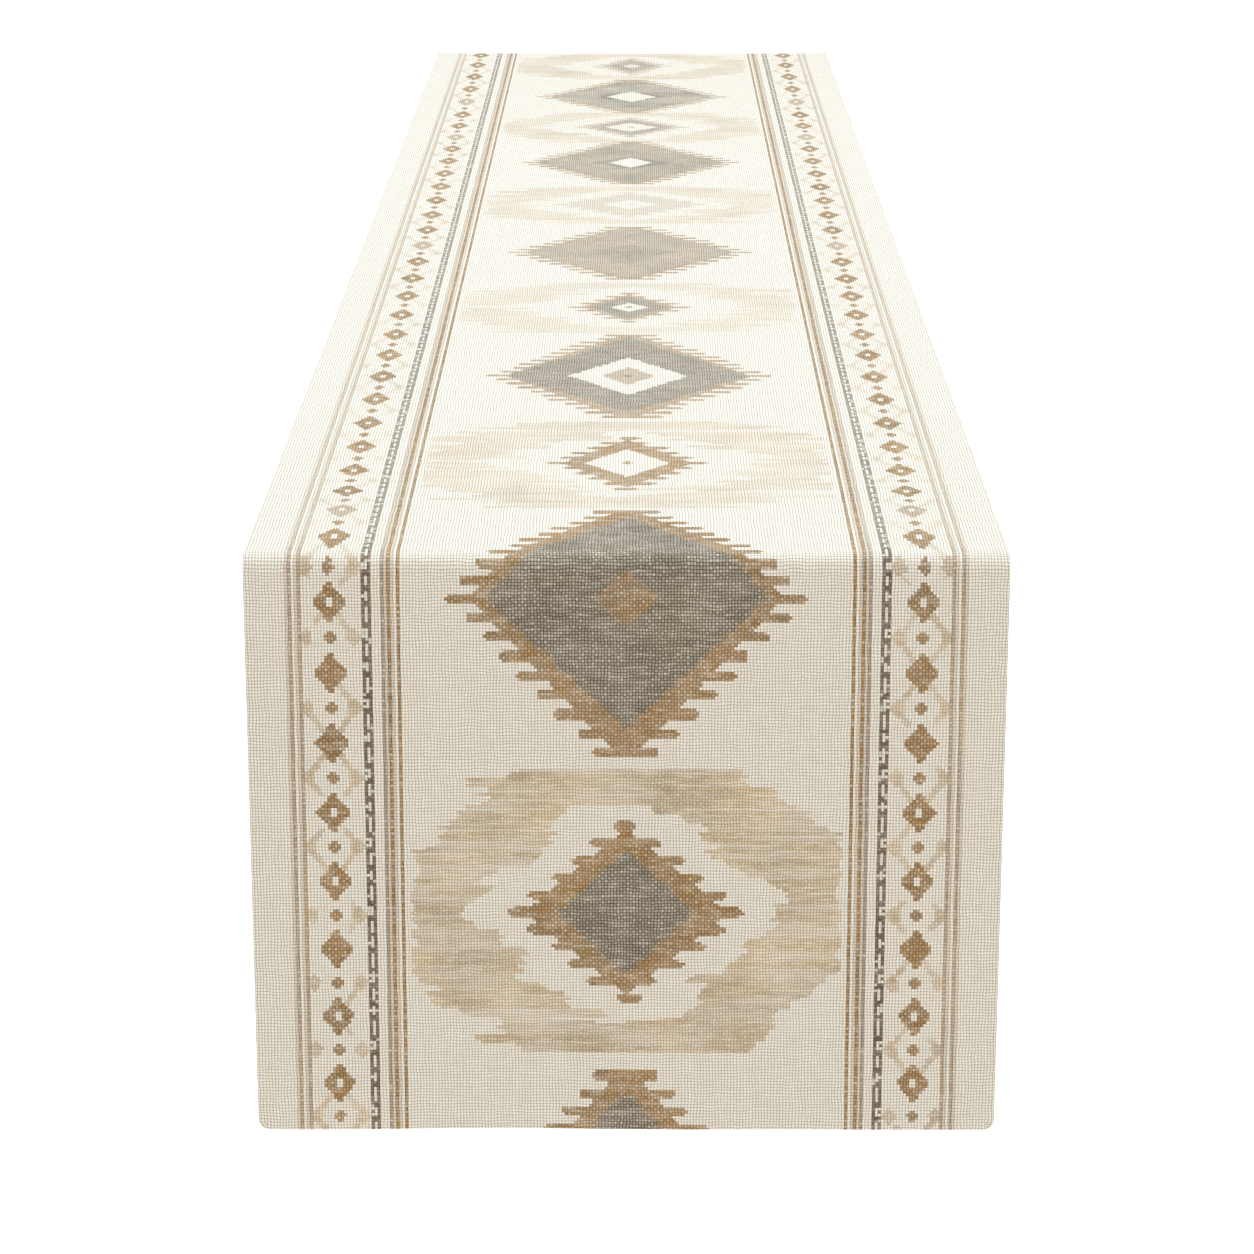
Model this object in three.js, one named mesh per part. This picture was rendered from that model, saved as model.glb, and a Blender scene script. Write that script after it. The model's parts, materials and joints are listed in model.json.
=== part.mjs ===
// A lined table runner, laid lengthwise on a table so that an end hangs down over each end of it.
//
// The face cloth has a margin turned under along every edge, mitred at the corners. The lining lies inside
// that turned margin, level with it, and a slip-stitch thread runs in the groove between the two.
// Every layer is cut where the cloth turns over an edge of the table: a flat panel on the table, a bend over
// each edge, and a hanging end below each bend.
//
// Millimetres, +Z up. X is across the runner and Y along it, with the near end at -Y and left at -X.
// The origin is the middle of the underside, on the table top.

import * as THREE from "three";

// ---- Driving sizes ----

const runnerWidth = 305;
const finishedLength = 1829; // hem to hem, along the cloth
const tableLength = 1335; // flat on the table, from one bend to the other
const bendRadius = 5; // of the underside, over the table's edge
const dropLeanDegrees = 4; // how far a hanging end stands out from plumb
const faceThickness = 1;
const liningThickness = 0.8;
const turningWidth = 18; // margin of face cloth turned under
const cornerRadius = 4.5; // rounding left on a turned corner
const threadDiameter = 0.5; // slip-stitch thread

// ---- Clearances ----

const layerGap = 0.3; // between one layer and the next
const pieceGap = 0.3; // between pieces that meet edge to edge

// ---- How finely round shapes are cut ----

const bendSteps = 12;
const cornerSteps = 5;
const threadSides = 8;

// ---- Sizes that follow ----

const faceBase = Math.max(faceThickness, liningThickness) + layerGap;
const totalThickness = faceBase + faceThickness;
const neutralRadius = bendRadius + totalThickness / 2;
const bendAngle = THREE.MathUtils.degToRad(90 - dropLeanDegrees);
const bendLength = neutralRadius * bendAngle;
const dropLength = (finishedLength - tableLength) / 2 - bendLength;
const grooveWidth = threadDiameter + 2 * pieceGap;
const liningInset = turningWidth + grooveWidth;
const threadInset = turningWidth + grooveWidth / 2;

// ---- Finishes ----

const finishes = {
  face: { color: 0xf1ebde, roughness: 0.9 },
  lining: { color: 0xe9e2d2, roughness: 0.92 },
  thread: { color: 0xe4dac4, roughness: 0.75 },
};

function addPiece(group, name, geometry, finish) {
  const material = new THREE.MeshStandardMaterial({ ...finishes[finish], metalness: 0 });
  const piece = new THREE.Mesh(geometry, material);
  piece.name = name;
  group.add(piece);
}

// ---- Outlines ----
// A flat outline is a list of [across, along] points. Across runs from 0 at one edge to runnerWidth at the
// other, and along is Y in the panel's own frame.

function mirrored(points) {
  return points.map(([across, along]) => [runnerWidth - across, along]).reverse();
}

function rectangle(left, right, start, end) {
  return [
    [left, start],
    [left, end],
    [right, end],
    [right, start],
  ];
}

// Points round a hem corner: angle 0 is on the side edge and a quarter turn is on the hem.
function cornerArc(hem, fromAngle, toAngle) {
  const points = [];
  for (let step = 0; step <= cornerSteps; step++) {
    const angle = THREE.MathUtils.lerp(fromAngle, toAngle, step / cornerSteps);
    const across = cornerRadius * (1 - Math.cos(angle));
    const along = hem - cornerRadius * (1 - Math.sin(angle));
    points.push([across, along]);
  }
  return points;
}

function hemmedFaceOutline(start, hem) {
  const corner = cornerArc(hem, 0, Math.PI / 2);
  return [[0, start], ...corner, ...mirrored(corner), [runnerWidth, start]];
}

// The side margin stops short of the mitre line by the gap between the pieces.
function mitredSideOutline(start, hem) {
  const mitreAngle = Math.acos(pieceGap / cornerRadius) - Math.PI / 4;
  const mitreTop = hem - turningWidth - pieceGap * Math.SQRT2;
  return [[0, start], ...cornerArc(hem, 0, mitreAngle), [turningWidth, mitreTop], [turningWidth, start]];
}

function mitredHemOutline(hem) {
  const corner = cornerArc(hem, Math.PI / 4, Math.PI / 2);
  const inner = hem - turningWidth;
  return [[turningWidth, inner], ...corner, ...mirrored(corner), [runnerWidth - turningWidth, inner]];
}

// ---- Layers ----

function flatLayer(points, base, thickness) {
  const corners = points.map(([across, along]) => new THREE.Vector2(across - runnerWidth / 2, along));
  const settings = { depth: thickness, bevelEnabled: false };
  return new THREE.ExtrudeGeometry(new THREE.Shape(corners), settings).translate(0, 0, base);
}

// A point of the bend at the +Y end, at a height above the underside, as [along, up].
function bendPoint(height, angle) {
  const radius = bendRadius + height;
  return [tableLength / 2 + radius * Math.sin(angle), radius * Math.cos(angle) - bendRadius];
}

function bendArc(height) {
  const points = [];
  for (let step = 0; step <= bendSteps; step++) {
    const [along, up] = bendPoint(height, (bendAngle * step) / bendSteps);
    points.push(new THREE.Vector2(along, up));
  }
  return points;
}

function bentLayer(left, right, base, thickness) {
  const section = new THREE.Shape([...bendArc(base + thickness), ...bendArc(base).reverse()]);
  const geometry = new THREE.ExtrudeGeometry(section, { depth: right - left, bevelEnabled: false });
  // The section stands in the YZ plane and is drawn out along X.
  const alongY = new THREE.Vector3(0, 1, 0);
  const alongZ = new THREE.Vector3(0, 0, 1);
  const alongX = new THREE.Vector3(1, 0, 0);
  geometry.applyMatrix4(new THREE.Matrix4().makeBasis(alongY, alongZ, alongX));
  return geometry.translate(left - runnerWidth / 2, 0, 0);
}

// ---- Threads ----

class BendPath extends THREE.Curve {
  constructor(across) {
    super();
    this.across = across - runnerWidth / 2;
  }

  getPoint(share, target = new THREE.Vector3()) {
    const [along, up] = bendPoint(threadDiameter / 2, bendAngle * share);
    return target.set(this.across, along, up);
  }
}

function straightPath([fromAcross, fromAlong], [toAcross, toAlong]) {
  const height = threadDiameter / 2;
  const from = new THREE.Vector3(fromAcross - runnerWidth / 2, fromAlong, height);
  const to = new THREE.Vector3(toAcross - runnerWidth / 2, toAlong, height);
  return new THREE.LineCurve3(from, to);
}

function threadGeometry(path, steps) {
  const section = new THREE.Shape().absarc(0, 0, threadDiameter / 2, 0, 2 * Math.PI, false);
  return new THREE.ExtrudeGeometry(section, { extrudePath: path, steps, curveSegments: threadSides });
}

// ---- The three kinds of segment ----

// The pieces that lie along one long edge have a plain form for the left, which is mirrored for the right.
function edgeForms(flipped) {
  return [
    { side: "left", place: flipped ? mirrored : (points) => points },
    { side: "right", place: flipped ? (points) => points : mirrored },
  ];
}

function addTablePanel() {
  const group = new THREE.Group();
  const end = tableLength / 2 - pieceGap;
  const face = rectangle(0, runnerWidth, -end, end);
  addPiece(group, "face_cloth_top", flatLayer(face, faceBase, faceThickness), "face");
  const lining = rectangle(liningInset, runnerWidth - liningInset, -end, end);
  addPiece(group, "lining_top", flatLayer(lining, 0, liningThickness), "lining");
  for (const { side, place } of edgeForms(false)) {
    const turning = place(rectangle(0, turningWidth, -end, end));
    addPiece(group, `${side}_turning_top`, flatLayer(turning, 0, faceThickness), "face");
    const [from, to] = place([
      [threadInset, -end],
      [threadInset, end],
    ]);
    addPiece(group, `${side}_stitch_top`, threadGeometry(straightPath(from, to), 1), "thread");
  }
  return group;
}

function addBend(group, end) {
  const name = (piece) => `${piece}_${end.name}_bend`;
  const face = bentLayer(0, runnerWidth, faceBase, faceThickness);
  addPiece(group, name("face_cloth"), face, "face");
  const lining = bentLayer(liningInset, runnerWidth - liningInset, 0, liningThickness);
  addPiece(group, name("lining"), lining, "lining");
  for (const { side, place } of edgeForms(end.flipped)) {
    const edges = place([
      [0, 0],
      [turningWidth, 0],
    ]);
    const [left, right] = edges.map(([across]) => across).sort((a, b) => a - b);
    addPiece(group, name(`${side}_turning`), bentLayer(left, right, 0, faceThickness), "face");
    const [[across]] = place([[threadInset, 0]]);
    const thread = threadGeometry(new BendPath(across), bendSteps);
    addPiece(group, name(`${side}_stitch`), thread, "thread");
  }
}

function addHangingPanel(group, end) {
  const name = (piece) => `${piece}_${end.name}_drop`;
  const face = hemmedFaceOutline(pieceGap, dropLength);
  addPiece(group, name("face_cloth"), flatLayer(face, faceBase, faceThickness), "face");
  const liningEnd = dropLength - liningInset;
  const lining = rectangle(liningInset, runnerWidth - liningInset, pieceGap, liningEnd);
  addPiece(group, name("lining"), flatLayer(lining, 0, liningThickness), "lining");
  for (const { side, place } of edgeForms(end.flipped)) {
    const turning = place(mitredSideOutline(pieceGap, dropLength));
    addPiece(group, name(`${side}_turning`), flatLayer(turning, 0, faceThickness), "face");
    const [from, to] = place([
      [threadInset, pieceGap],
      [threadInset, dropLength - threadInset],
    ]);
    addPiece(group, name(`${side}_stitch`), threadGeometry(straightPath(from, to), 1), "thread");
  }
  const hemTurning = mitredHemOutline(dropLength);
  addPiece(group, name("hem_turning"), flatLayer(hemTurning, 0, faceThickness), "face");
  const hemThreadInset = threadInset + threadDiameter / 2 + pieceGap;
  const from = [hemThreadInset, dropLength - threadInset];
  const to = [runnerWidth - hemThreadInset, dropLength - threadInset];
  addPiece(group, name("hem_stitch"), threadGeometry(straightPath(from, to), 1), "thread");
}

// An end is made at +Y: its bend, and its hanging panel turned down from the level to hang below the bend.
// The near end is the same end turned half round, which swaps its left and right.
function addEnd(end) {
  const group = new THREE.Group();
  addBend(group, end);
  const panel = new THREE.Group();
  const [along, up] = bendPoint(0, bendAngle);
  panel.position.set(0, along, up);
  panel.rotation.x = -bendAngle;
  addHangingPanel(panel, end);
  group.add(panel);
  group.rotation.z = end.flipped ? Math.PI : 0;
  return group;
}

const runner = new THREE.Group();
runner.add(addTablePanel());
runner.add(addEnd({ name: "near", flipped: true }));
runner.add(addEnd({ name: "far", flipped: false }));

export default runner;
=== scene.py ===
"""A lined cotton table runner, draped over the two ends of a table that isn't there.

The cloth is cut flat, woven with its pattern, and then laid over the table's edges by a Geometry Nodes tree.
Everything is in metres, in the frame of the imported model: X across the runner, Y along it, +Z up, with the
origin in the middle of the underside.
"""

import json
import math

import bpy
import numpy as np
from mathutils import Euler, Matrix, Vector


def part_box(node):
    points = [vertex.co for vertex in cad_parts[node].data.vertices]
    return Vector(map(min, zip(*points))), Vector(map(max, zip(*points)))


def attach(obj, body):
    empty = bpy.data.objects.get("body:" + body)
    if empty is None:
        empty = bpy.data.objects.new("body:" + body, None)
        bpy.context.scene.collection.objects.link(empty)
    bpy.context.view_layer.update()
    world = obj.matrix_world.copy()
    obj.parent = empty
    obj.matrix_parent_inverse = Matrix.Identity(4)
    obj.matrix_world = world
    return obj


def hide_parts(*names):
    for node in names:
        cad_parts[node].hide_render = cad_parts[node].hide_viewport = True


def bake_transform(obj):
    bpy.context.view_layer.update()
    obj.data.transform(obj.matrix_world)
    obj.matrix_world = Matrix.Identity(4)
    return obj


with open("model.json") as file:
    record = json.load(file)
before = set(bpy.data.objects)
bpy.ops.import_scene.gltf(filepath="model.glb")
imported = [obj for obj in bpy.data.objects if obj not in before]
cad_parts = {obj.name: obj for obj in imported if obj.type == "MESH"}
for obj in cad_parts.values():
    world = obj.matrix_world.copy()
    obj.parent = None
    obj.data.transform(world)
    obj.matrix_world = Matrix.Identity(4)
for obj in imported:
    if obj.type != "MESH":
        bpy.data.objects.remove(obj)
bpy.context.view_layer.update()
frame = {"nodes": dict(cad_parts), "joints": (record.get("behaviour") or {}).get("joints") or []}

bl_info = {
    "name": "Table Runner",
    "version": (1, 0, 0),
    "blender": (4, 5, 0),
    "location": "View3D > Sidebar > Runner",
    "description": "Weaves, lines, sews and drapes a table runner",
    "category": "Object",
}

MM = 0.001


# ---- Sizes from the frame ----

class Cut:
    """The runner's measures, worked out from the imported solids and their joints."""

    low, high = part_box("face_cloth_top")
    width = high.x - low.x
    thickness = high.z
    face_base = low.z
    table_length = 2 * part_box("face_cloth_far_bend")[0].y
    lining_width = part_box("lining_top")[1].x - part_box("lining_top")[0].x
    lining_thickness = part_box("lining_top")[1].z
    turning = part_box("left_turning_top")[1].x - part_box("left_turning_top")[0].x
    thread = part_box("left_stitch_top")[1].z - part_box("left_stitch_top")[0].z
    far_joint = next(j for j in frame["joints"] if j["name"] == "far_drop_bend")
    bend_angle = math.radians(far_joint["range_deg"][1])
    neutral_radius = 2 * (far_joint["pos_m"][1] - table_length / 2) / bend_angle
    bend_radius = neutral_radius - thickness / 2
    bend_length = neutral_radius * bend_angle
    hem_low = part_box("face_cloth_far_drop")[0].z
    drop_length = (
        bend_radius * (math.cos(bend_angle) - 1) + face_base * math.cos(bend_angle) - hem_low
    ) / math.sin(bend_angle)
    length = table_length + 2 * (bend_length + drop_length)


# ---- Settings ----

class RunnerClothSettings(bpy.types.PropertyGroup):
    thread_pitch: bpy.props.FloatProperty(
        name="Thread pitch",
        description="Distance from one thread of the face cloth to the next",
        default=1.27 * MM, min=0.8 * MM, max=4 * MM, precision=5, subtype="DISTANCE", unit="LENGTH",
    )
    corner_radius: bpy.props.FloatProperty(
        name="Corner radius",
        description="Rounding of the turned corners at the hems",
        default=4.5 * MM, min=2 * MM, max=15 * MM, precision=5, subtype="DISTANCE", unit="LENGTH",
    )
    hem_wave: bpy.props.FloatProperty(
        name="Hem wave",
        description="How far a hem waves out of its plane",
        default=1.0 * MM, min=0, max=5 * MM, precision=5, subtype="DISTANCE", unit="LENGTH",
    )
    table_lift: bpy.props.FloatProperty(
        name="Table lift",
        description="How far the cloth's slight waves stand off the table",
        default=0.35 * MM, min=0, max=2 * MM, precision=5, subtype="DISTANCE", unit="LENGTH",
    )
    stitch_length: bpy.props.FloatProperty(
        name="Stitch length",
        description="Distance from one slip stitch to the next",
        default=6 * MM, min=3 * MM, max=15 * MM, precision=5, subtype="DISTANCE", unit="LENGTH",
    )


# ---- Small helpers ----

def linear(hex_colour):
    """An sRGB hex value as linear RGBA."""
    shares = [int(hex_colour[i:i + 2], 16) / 255 for i in (1, 3, 5)]
    return [c / 12.92 if c <= 0.04045 else ((c + 0.055) / 1.055) ** 2.4 for c in shares] + [1.0]


def colour_setting(name, description, hex_colour):
    return bpy.props.FloatVectorProperty(
        name=name, description=description, default=linear(hex_colour), size=4,
        min=0, max=1, subtype="COLOR",
    )


class RunnerColourSettings(bpy.types.PropertyGroup):
    ground: colour_setting("Ground", "Bleached cotton of the ground weave", "#F2E9DB")
    ground_shade: colour_setting("Ground shade", "Darker, unbleached threads in the ground", "#E9DECD")
    gold: colour_setting("Gold", "Ochre yarn of the diamonds' rims and the borders", "#A57E47")
    grey: colour_setting("Grey", "Slate yarn of the diamonds' hearts", "#968770")
    tan: colour_setting("Tan", "Pale sand yarn of the rings", "#D2BA98")
    dark: colour_setting("Dark", "Umber yarn of the narrow border bands", "#75634F")
    lining: colour_setting("Lining", "Plain cotton of the lining", "#E6DDCB")
    thread: colour_setting("Thread", "Cotton sewing thread", "#D9CBB0")


def add_node(tree, kind, links=None, values=None, **settings):
    """Adds a node with its settings. links and values go from an input's name or number to a socket or a value."""
    node = tree.nodes.new(kind)
    for name, value in settings.items():
        setattr(node, name, value)
    for key, value in (values or {}).items():
        node.inputs[key].default_value = value
    for key, socket in (links or {}).items():
        tree.links.new(socket, node.inputs[key])
    return node


# ---- The woven pattern ----
# The pattern is woven on a grid with one cell to each crossing of the threads. Lengths here are millimetres.
# Across is measured from the runner's middle line, and along from the near edge of the table, so it is
# negative on the near hanging end. A cell says how much of each yarn covers the ground: gold, grey, tan, dark.

GOLD, GREY, TAN, DARK = range(4)
TOOTH_PITCH = 7.7  # along the cloth, from one tooth of a diamond's rim to the next
TOOTH_HEIGHT = 4.2
RING_WIDTH = 87.0  # half of it, where its streaky ends stop
# How far the pattern is moved along the cloth: below the bend, and on the table.
SHIFT_ZONE = (-12, 0)
SHIFT = (-0.8, -4.6)

# Each big diamond: its middle, its reach to the crown below and above it, and half its width. Then its heart:
# half its width as a share of the whole, its share of slate and of sand yarn, half the width of a pale
# diamond inside it, and of a small ochre one inside that.
DIAMONDS = [
    (-293, 66, 71, 72, 0.78, 1.0, 0, 0, 0),
    (-19, 64, 79, 72, 0.78, 1.0, 0, 0, 13),
    (293, 78, 84, 69, 0.84, 0.80, 0, 29, 13),
    (582, 71, 70, 69, 0.88, 0.44, 0.95, 0, 0),
    (864, 74, 76, 71, 0.88, 0.58, 1.0, 14, 0),
    (1128, 70, 76, 69, 0.86, 0.66, 0.35, 18, 0),
    (1413, 70, 70, 70, 0.80, 0.90, 0, 0, 13),
]
# Each ring: its middle, its reach either way, its strength, and how ragged its streaks are. Then the small
# diamond inside: half its width and half its height, its strength, its heart's share of it, and a pale eye's.
RINGS = [
    (-151, 61, 0.92, 1.0, 49, 37, 1.0, 0.57, 0),
    (136, 70, 0.53, 3.2, 36, 41, 0.90, 0, 0.52),
    (441, 60, 0.42, 2.6, 33, 33, 0.75, 0.62, 0.30),
    (722, 58, 0.50, 2.6, 48, 38, 0.30, 0, 0.35),
    (998, 60, 0.52, 1.8, 40, 37, 0.55, 0.70, 0.45),
    (1273, 64, 0.60, 1.4, 31, 40, 0.55, 0.60, 0.22),
    (1555, 61, 0.92, 1.0, 49, 37, 1.0, 0.57, 0),
]

# The border's small diamonds: where the first, second and later ones come along the cloth.
BORDER_MIDDLE = 118.3
DROP_PITCH = 29.2
BORDER_MARKS = [
    (-283.5, -9), (-20.7, 0), (-6.4, 0.49), (26, 1), (63, 2), (91, 3), (123, 4), (162, 5), (203, 6),
    (645, 16), (1048, 25), (1280, 29), (1680, 37),
]
FAINT_MARKS = (2, 15, 23, 26)
SOLID_MARKS = (-1, -2, -5)
# Threads that run along each border: distance from the middle line, the yarn, and how much of it shows.
BORDER_LINES = [
    (135.3, GOLD, 0.35),
    (134.1, GOLD, 0.75),
    (131.5, GOLD, 0.35),
    (130.3, GOLD, 0.75),
    (104.8, DARK, 1.0),
    (103.6, DARK, 1.0),
    (102.3, DARK, 1.0),
    (97.2, DARK, 0.95),
    (97.2, GOLD, 0.4),
    (95.9, GOLD, 0.4),
    (94.6, GOLD, 1.0),
    (93.3, GOLD, 0.4),
    (90.9, GOLD, 1.0),
]
# The dark band's repeat, a thread at a time from its inner side out. Dots are left in the ground colour.
DARK_BAND = (101.7, 105.5)
BAND_CHART = """
### #.# #.# #.# #.# #.# ### ### #.# #.. #.# ### ### #.# #.# #.# #.# ### ### #.. #.# #.. ###
""".split()


def mottle(shape, size, rng):
    """Smooth noise from 0 to 1 over a grid, with patches of the given size in cells."""
    coarse = rng.random((int(shape[0] / size[0]) + 3, int(shape[1] / size[1]) + 3))
    row, column = np.arange(shape[0]) / size[0], np.arange(shape[1]) / size[1]
    i, j = row.astype(int), column.astype(int)
    a, b = (row - i)[:, None], (column - j)[None, :]
    top = coarse[i][:, j] * (1 - b) + coarse[i][:, j + 1] * b
    bottom = coarse[i + 1][:, j] * (1 - b) + coarse[i + 1][:, j + 1] * b
    return top * (1 - a) + bottom * a


class Loom:
    """Weaves the whole cloth's grid of yarns."""

    def __init__(self, rows, columns, pitch):
        self.rng = np.random.default_rng(11)
        self.shape = (rows, columns)
        self.thread = pitch / MM
        across = (np.arange(columns) + 0.5 - columns / 2) * self.thread
        along = (np.arange(rows) + 0.5) * self.thread - (Cut.length - Cut.table_length) / 2 / MM
        self.x = np.abs(np.broadcast_to(across, self.shape))
        along = along - np.interp(along, SHIFT_ZONE, SHIFT)
        self.s = np.broadcast_to(along[:, None], self.shape)
        self.side = np.broadcast_to(across > 0, self.shape)
        self.yarns = np.zeros((*self.shape, 4))
        self.streak = mottle(self.shape, (1.01, 7), self.rng)
        self.long_streak = mottle(self.shape, (1.01, 30), self.rng)
        self.patch = mottle(self.shape, (9, 12), self.rng)
        self.speck = self.rng.random(self.shape)

    def lay(self, where, yarn, strength):
        """Covers cells with one yarn, over whatever was there."""
        cover = np.where(where, np.clip(strength, 0, 1), 0)
        self.yarns *= (1 - cover)[..., None]
        self.yarns[..., yarn] += cover

    def clear(self, where):
        self.yarns[where] = 0

    def row_noise(self, spread, rows=1):
        """One random value for each few rows of a side, the same all along the row."""
        left, right = np.repeat(self.rng.normal(0, spread, (2, self.shape[0] // rows + 1)), rows, axis=1)
        left, right = left[:self.shape[0], None], right[:self.shape[0], None]
        return np.where(self.side, right, left)

    def toothed(self, middle, below, above, half_width, tooth, crown, taper):
        """Where a diamond is that has a row of teeth down each edge and a bar for its crown."""
        reach = np.where(self.s < middle, below, above)
        away = np.abs(self.s - middle)
        pitch = reach / np.round(reach / TOOTH_PITCH)
        step = np.round(away / pitch)
        off = np.abs(away - step * pitch)
        jitter = self.rng.normal(0, 1.0, (2, 40))
        index = (step + np.where(self.s < middle, 0, 20)).astype(int).clip(0, 39)
        wobble = np.where(self.side, jitter[0][index], jitter[1][index])
        slope = (half_width - crown) / reach
        tip = half_width - slope * step * pitch - taper * off / TOOTH_HEIGHT + wobble * np.where(step, 1, 0.3)
        gap = np.maximum(half_width - slope * away - tooth, 0)
        inside = np.where(off < TOOTH_HEIGHT / 2, self.x < tip, self.x < gap)
        return inside & (away < reach + TOOTH_HEIGHT / 2)

    def diamond(self, middle, below, above, half_width, wobble=0.0):
        reach = np.where(self.s < middle, below, above)
        return self.x / half_width + np.abs(self.s - middle) / reach < 1 + wobble

    def weave_diamond(self, middle, below, above, half_width, share, slate, sand, pale, eye):
        rim = self.toothed(middle, below, above, half_width, 9.5, 14, 3)
        fade = 1.0 if middle < 100 or middle > 1400 else 0.80
        self.lay(rim, GOLD, fade * (0.78 + 0.25 * self.streak))
        edge = self.row_noise(0.012) + 0.03 * (self.patch - 0.5)
        heart = self.diamond(middle, below * (share + 0.06), above * (share + 0.12), half_width * share, edge)
        grain = 0.80 + 0.28 * self.streak + 0.2 * (self.patch - 0.5)
        if sand:
            self.clear(heart & rim)
            self.lay(heart & rim, TAN, sand * (0.9 + 0.5 * self.streak))
            self.lay(heart & rim, GOLD, sand * 0.46)
            grain = grain * np.where(self.diamond(middle, 22, 22, 26), 1.5, 0.7 + 0.6 * self.patch)
        self.lay(heart & rim, GREY, slate * grain)
        if pale:
            hollow = self.diamond(middle, pale * 1.28, pale * 1.28, pale, self.row_noise(0.02))
            self.clear(hollow)
        if eye:
            ratio = 1.35 if pale else 0.95
            small = self.diamond(middle, eye * ratio, eye * ratio, eye, self.row_noise(0.03))
            self.lay(small, GOLD, (0.60 if pale else 0.95) * (0.85 + 0.2 * self.streak))
        if pale and eye:
            self.lay(self.diamond(middle, 3.4, 3.4, 2.4), GREY, 0.8)

    def weave_ring(self, middle, reach, strength, ragged, half_width, half_height, small, heart, eye):
        away = np.abs(self.s - middle)
        streaks = ragged * (self.row_noise(3.6, 3) + 8 * (self.long_streak - 0.5))
        outer = np.minimum(RING_WIDTH + np.minimum(0.3 * streaks, 1), 46 + (reach - away) * 1.2 + streaks)
        inner = np.where(away < reach * 0.76, 66 - 1.06 * away, 0) - self.row_noise(4.6, 3) - 0.5 * streaks
        ring = (self.x < outer) & (away < reach) & ((self.x > inner) | (away > reach * 0.78))
        worn = 0.25 + 0.85 * self.long_streak + 0.35 * self.streak + 0.4 * (self.patch - 0.5)
        self.lay(ring, TAN, strength * worn)
        gold = self.toothed(middle, half_height, half_height, half_width, 7.5, 6, 6)
        self.lay(gold, GOLD, small * (0.80 + 0.25 * self.streak))
        if heart:
            core = self.diamond(middle, half_height * (heart + 0.15), half_height * (heart + 0.15),
                                half_width * heart, self.row_noise(0.02))
            self.lay(core & gold, GREY, small * (0.85 + 0.2 * self.streak))
        if eye:
            self.clear(self.diamond(middle, half_height * eye * 1.05, half_height * eye * 1.05,
                                    half_width * eye, self.row_noise(0.02)))
            self.lay(self.diamond(middle, 3.4, 3.4, 2.6), GOLD, small * 0.8)

    def weave_border_diamonds(self):
        marks, counts = zip(*BORDER_MARKS)
        count = np.interp(self.s, marks, counts)
        whole = np.round(count)
        number = whole.astype(int)
        from_whole = np.abs(count - whole) * DROP_PITCH
        from_half = DROP_PITCH / 2 - from_whole
        across = np.abs(self.x - BORDER_MIDDLE)
        on_table = self.s > 0
        lattice = np.abs(across / 9.8 - 2 * from_whole / DROP_PITCH) < 0.15
        self.lay(lattice & (self.patch > 0.38), TAN, np.where(on_table, 0.45, 0.8) * (0.3 + self.patch))
        beside = np.abs(across - 9.8) / 3.4 + from_half / 4.0 < 1
        self.lay(beside, TAN, np.where(on_table, 0.35, 0.85) * (0.6 + 0.5 * self.streak))
        main = across / 6.9 + from_whole / 8.8 < 1
        self.lay(main, GOLD, np.where(np.isin(number, FAINT_MARKS), 0.65, 1.0) * (0.85 + 0.2 * self.streak))
        self.clear((across < 1.3) & (from_whole < 1.6) & ~np.isin(number, SOLID_MARKS))
        dot = across / 2.6 + from_half / 3.4 < 1
        self.lay(dot, GOLD, 0.9)

    def weave_border_lines(self):
        on_table = np.clip((self.s + 10) / 40, 0, 1)
        for middle, yarn, strength in BORDER_LINES:
            line = np.abs(self.x - middle) < self.thread / 2
            worn = strength * (0.85 + 0.25 * self.streak)
            if yarn == DARK:
                faded = 0.2 if middle > DARK_BAND[0] else 0.85
                worn = worn * np.where(self.speck > 0.93, 0.35, 1.0) * (1 - faded * on_table)
            elif middle > BORDER_MIDDLE:
                worn = worn * (1 - 0.3 * on_table)
            self.lay(line, yarn, worn)
        chart = np.array([[mark == "." for mark in row] for row in BAND_CHART])
        row = (self.s / self.thread).astype(int) % len(chart)
        thread = ((self.x - DARK_BAND[0]) / self.thread).astype(int)
        in_band = (self.x > DARK_BAND[0]) & (self.x < DARK_BAND[1])
        self.yarns[in_band & chart[row, thread.clip(0, 2)]] *= 0.1

    def woven(self):
        for ring in RINGS:
            self.weave_ring(*ring)
        for diamond in DIAMONDS:
            self.weave_diamond(*diamond)
        self.weave_border_diamonds()
        self.weave_border_lines()
        return np.clip(self.yarns, 0, 1)


# ---- Cutting a flat layer ----

def wave(across, along, settings):
    """How far the cloth stands off its plane: slight waves on the table, and longer ones towards a hem."""
    past = np.abs(along) - Cut.table_length / 2
    from_bend = np.clip(-past / 0.06, 0, 1)
    flat = from_bend * from_bend * (3 - 2 * from_bend)
    swell = 0.5 + 0.25 * np.sin(along * 23 + 4 * across) + 0.25 * np.sin(across * 31 - along * 9)
    hanging = np.clip((past - Cut.bend_length) / Cut.drop_length, 0, 1) ** 1.4
    end = np.sign(along)
    fold = 0.6 * np.sin(across * 27 + 0.7 * end) + 0.4 * np.sin(across * 46 + 2 + end)
    return settings.table_lift * flat * swell + settings.hem_wave * hanging * fold


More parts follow.
